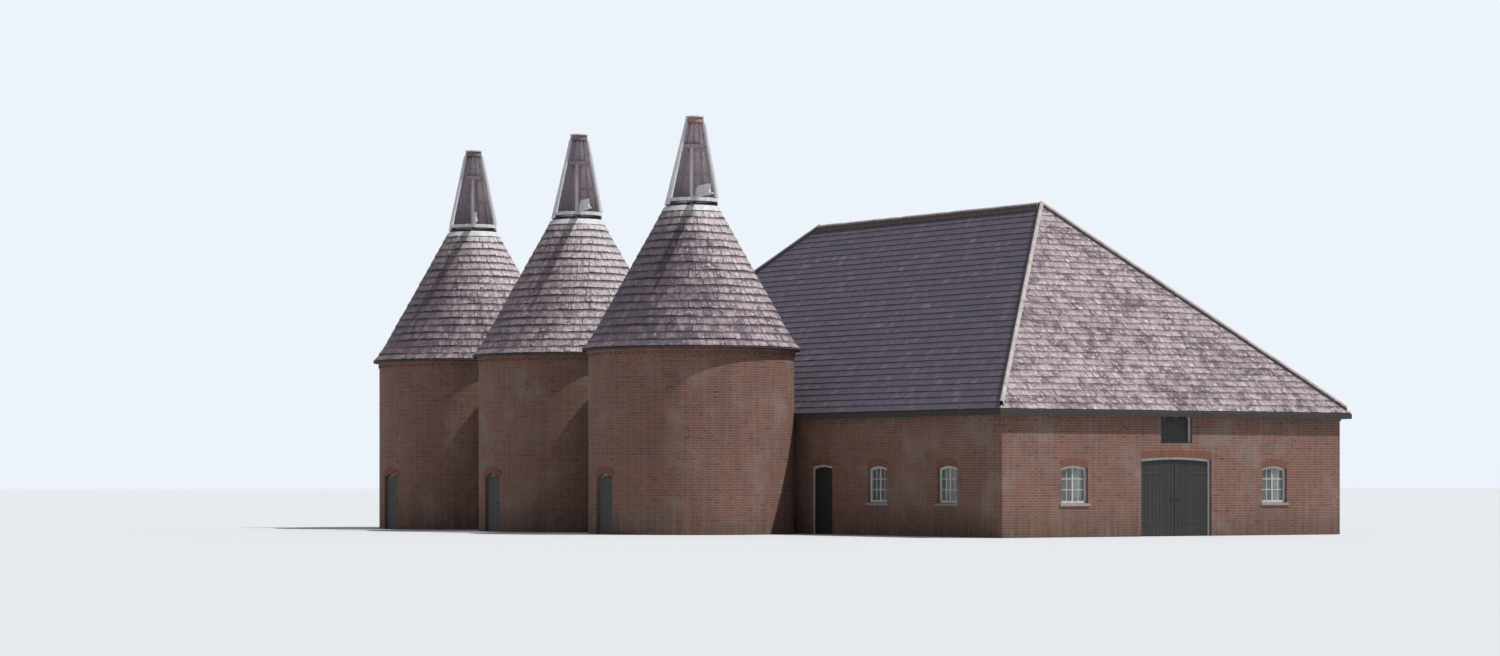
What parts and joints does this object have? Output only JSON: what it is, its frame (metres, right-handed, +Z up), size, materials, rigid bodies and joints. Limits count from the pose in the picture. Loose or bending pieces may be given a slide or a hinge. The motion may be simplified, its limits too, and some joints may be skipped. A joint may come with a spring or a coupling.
{
  "type": "oast house",
  "caption": "Oast house: hipped slate stowage with round hop kilns along its front, each a conical slate roof under a white timber cowl whose vane turns it with the wind.",
  "frame": {"origin": "middle of the underside of the stowage's ground floor, at ground level", "axes": "+X along the ridge, +Z up; the kilns stand on the -Y side"},
  "size_m": [28.9098, 18.6399, 12.45],
  "materials": {
    "brick": "rough, weathered",
    "slate": "matt, weathered",
    "lead": "dull, pale",
    "painted_boards": "white paint, worn",
    "bare_timber": "rough, weathered",
    "floor_slab": "rough",
    "tile": "matt, weathered",
    "joinery_paint": "white paint",
    "tarred_boards": "black, matt",
    "glass": "clear"
  },
  "bodies": {
    "building": {"stowage_front_wall": "brick", "stowage_back_wall": "brick", "stowage_left_wall": "brick", "stowage_right_wall": "brick", "ground_floor": "floor_slab", "upper_floor": "bare_timber", "floor_posts": "bare_timber", "roof_front": "slate", "roof_right": "slate", "roof_back": "slate", "roof_left": "slate", "ridge_and_hip_tiles": "tile", "door_frames": "joinery_paint", "kiln_doors": "tarred_boards", "stowage_doors": "tarred_boards", "window_frames": "joinery_paint", "window_glass": "glass", "kiln_1_wall_front": "brick", "kiln_1_wall_back": "brick", "kiln_1_roof": "slate", "kiln_1_curb": "lead", "kiln_1_spindle": "painted_boards", "kiln_2_wall_front": "brick", "kiln_2_wall_back": "brick", "kiln_2_roof": "slate", "kiln_2_curb": "lead", "kiln_2_spindle": "painted_boards", "kiln_3_wall_front": "brick", "kiln_3_wall_back": "brick", "kiln_3_roof": "slate", "kiln_3_curb": "lead", "kiln_3_spindle": "painted_boards"},
    "cowl_1": {"cowl_1_shell": "painted_boards", "cowl_1_ring": "painted_boards", "cowl_1_frame": "bare_timber", "cowl_1_cap": "painted_boards", "cowl_1_vane": "painted_boards"},
    "cowl_2": {"cowl_2_shell": "painted_boards", "cowl_2_ring": "painted_boards", "cowl_2_frame": "bare_timber", "cowl_2_cap": "painted_boards", "cowl_2_vane": "painted_boards"},
    "cowl_3": {"cowl_3_shell": "painted_boards", "cowl_3_ring": "painted_boards", "cowl_3_frame": "bare_timber", "cowl_3_cap": "painted_boards", "cowl_3_vane": "painted_boards"}
  },
  "joints": [
    {"name": "cowl_1_turn", "type": "hinge", "parent": "building", "child": "cowl_1", "pos_m": [0.25, -8.85, 9.89], "axis": [0, 0, 1], "continuous": true},
    {"name": "cowl_2_turn", "type": "hinge", "parent": "building", "child": "cowl_2", "pos_m": [-6.49, -8.85, 9.89], "axis": [0, 0, 1], "continuous": true},
    {"name": "cowl_3_turn", "type": "hinge", "parent": "building", "child": "cowl_3", "pos_m": [-13.23, -8.85, 9.89], "axis": [0, 0, 1], "continuous": true}
  ]
}
